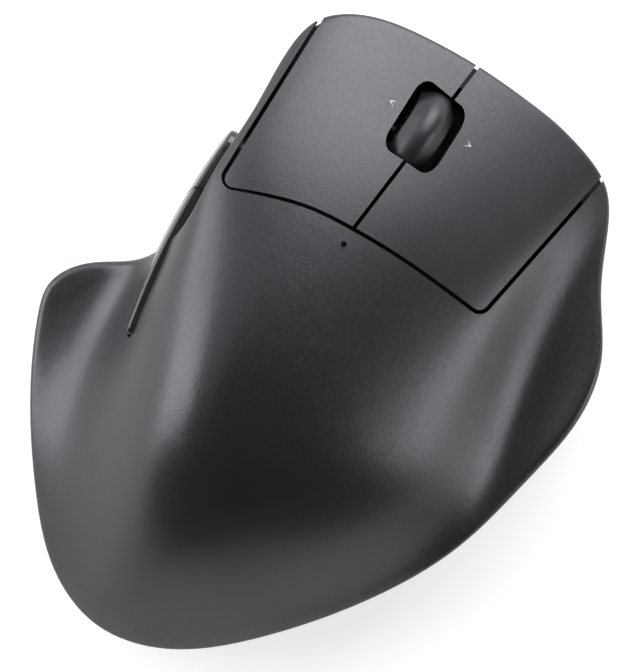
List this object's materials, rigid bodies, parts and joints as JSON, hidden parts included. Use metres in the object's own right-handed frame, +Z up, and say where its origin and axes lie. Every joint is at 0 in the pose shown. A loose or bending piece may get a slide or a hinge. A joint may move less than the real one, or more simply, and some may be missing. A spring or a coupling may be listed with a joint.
{
  "type": "computer mouse",
  "caption": "Right-handed ergonomic wireless mouse with sculpted palm shell, thumb wing, two main buttons, scroll wheel and two thumb buttons.",
  "frame": {"origin": "on the desk under the middle of the mouse's outline", "axes": "+X to the user's right, +Y away from the user towards the main buttons, +Z up"},
  "size_m": [0.084, 0.113, 0.045],
  "materials": {
    "shell_plastic": "satin, fine texture",
    "side_button_plastic": "semi-gloss",
    "base_plastic": "fine spark-eroded texture",
    "glide": "smooth, low friction",
    "tyre_rubber": "matt",
    "inner_plastic": "moulded",
    "plunger_plastic": "moulded",
    "board_laminate": "lacquered",
    "chip_resin": "moulded",
    "clear_resin": "clear",
    "lamp_resin": "clear tinted",
    "cell_wrap": "printed film",
    "contact_steel": "nickel-plated",
    "screw_steel": "zinc-plated",
    "label_film": "printed film, bare"
  },
  "bodies": {
    "root": {"top_shell": "shell_plastic", "base_case": "base_plastic", "front_foot": "glide", "rear_foot": "glide", "left_foot": "glide", "right_foot": "glide", "left_switch": "inner_plastic", "right_switch": "inner_plastic", "middle_switch": "inner_plastic", "power_switch": "inner_plastic", "main_board": "board_laminate", "side_board": "board_laminate", "sensor_chip": "chip_resin", "radio_chip": "chip_resin", "board_components": "chip_resin", "light_emitter": "chip_resin", "light_detector": "chip_resin", "pairing_switch": "chip_resin", "forward_switch": "chip_resin", "back_switch": "chip_resin", "sensor_lens": "clear_resin", "light_guide": "clear_resin", "indicator_lamp": "lamp_resin", "battery": "cell_wrap", "front_contact": "contact_steel", "rear_contact": "contact_steel", "case_screws": "screw_steel", "board_screws": "screw_steel", "button_screws": "screw_steel", "side_board_screws": "screw_steel", "rating_label": "label_film"},
    "left_click": {"left_button": "shell_plastic"},
    "right_click": {"right_button": "shell_plastic"},
    "left_plunger": {"left_plunger": "plunger_plastic"},
    "right_plunger": {"right_plunger": "plunger_plastic"},
    "middle_plunger": {"middle_plunger": "plunger_plastic"},
    "cradle": {"wheel_cradle": "inner_plastic"},
    "fork": {"wheel_fork": "inner_plastic"},
    "wheel": {"wheel_hub": "inner_plastic", "wheel_tyre": "tyre_rubber"},
    "forward_button": {"forward_button": "side_button_plastic", "forward_plunger": "plunger_plastic"},
    "back_button": {"back_button": "side_button_plastic", "back_plunger": "plunger_plastic"},
    "power_knob": {"power_knob": "inner_plastic"},
    "pairing_button": {"pairing_button": "inner_plastic"},
    "battery_door": {"battery_door": "base_plastic"}
  },
  "joints": [
    {"name": "left_click", "type": "hinge", "parent": "root", "child": "left_click", "pos_m": [-0.0175, 0.008, 0.03122], "axis": [-1, 0, 0], "range_deg": [0, 0.9], "stiffness_Nm_per_rad": 1.2, "springref_deg": -1.15},
    {"name": "right_click", "type": "hinge", "parent": "root", "child": "right_click", "pos_m": [0.005, 0.008, 0.02615], "axis": [-1, 0, 0], "range_deg": [0, 0.9], "stiffness_Nm_per_rad": 1.2, "springref_deg": -1.15},
    {"name": "left_plunger_slide", "type": "slide", "parent": "root", "child": "left_plunger", "axis": [0, 0, -1], "range_m": [0, 0.0005]},
    {"name": "right_plunger_slide", "type": "slide", "parent": "root", "child": "right_plunger", "axis": [0, 0, -1], "range_m": [0, 0.0005]},
    {"name": "middle_plunger_slide", "type": "slide", "parent": "root", "child": "middle_plunger", "axis": [0, 0, -1], "range_m": [0, 0.0005]},
    {"name": "wheel_press", "type": "hinge", "parent": "root", "child": "cradle", "pos_m": [-0.00891, 0.01167, 0.02018], "axis": [-0.9848, 0, 0.1736], "range_deg": [0, 1.8], "stiffness_Nm_per_rad": 0.6, "springref_deg": -1.72},
    {"name": "wheel_tilt", "type": "hinge", "parent": "cradle", "child": "fork", "pos_m": [-0.00891, 0.02607, 0.02018], "axis": [0, 1, 0], "range_deg": [-3.5, 3.5], "stiffness_Nm_per_rad": 0.25},
    {"name": "wheel_spin", "type": "hinge", "parent": "fork", "child": "wheel", "pos_m": [-0.00891, 0.03867, 0.02018], "axis": [0.9848, 0, -0.1736], "continuous": true},
    {"name": "forward_press", "type": "slide", "parent": "root", "child": "forward_button", "axis": [0.9767, 0.2147, 0], "range_m": [0, 0.0004], "stiffness_N_per_m": 1500, "springref_m": -0.0003},
    {"name": "back_press", "type": "slide", "parent": "root", "child": "back_button", "axis": [0.9767, 0.2147, 0], "range_m": [0, 0.0004], "stiffness_N_per_m": 1500, "springref_m": -0.0003},
    {"name": "power_slide", "type": "slide", "parent": "root", "child": "power_knob", "axis": [1, 0, 0], "range_m": [0, 0.0025]},
    {"name": "pairing_press", "type": "slide", "parent": "root", "child": "pairing_button", "axis": [0, 0, 1], "range_m": [0, 0.0003], "stiffness_N_per_m": 1000, "springref_m": -0.0003},
    {"name": "door_swing", "type": "hinge", "parent": "root", "child": "battery_door", "pos_m": [0.004, 0.0067, 0.0013], "axis": [1, 0, 0], "range_deg": [0, 80]}
  ],
  "couplings": [
    {"joint": "left_plunger_slide", "follows": "left_click", "m_per_rad": 0.0297},
    {"joint": "right_plunger_slide", "follows": "right_click", "m_per_rad": 0.0297},
    {"joint": "middle_plunger_slide", "follows": "wheel_press", "m_per_rad": 0.01205}
  ]
}
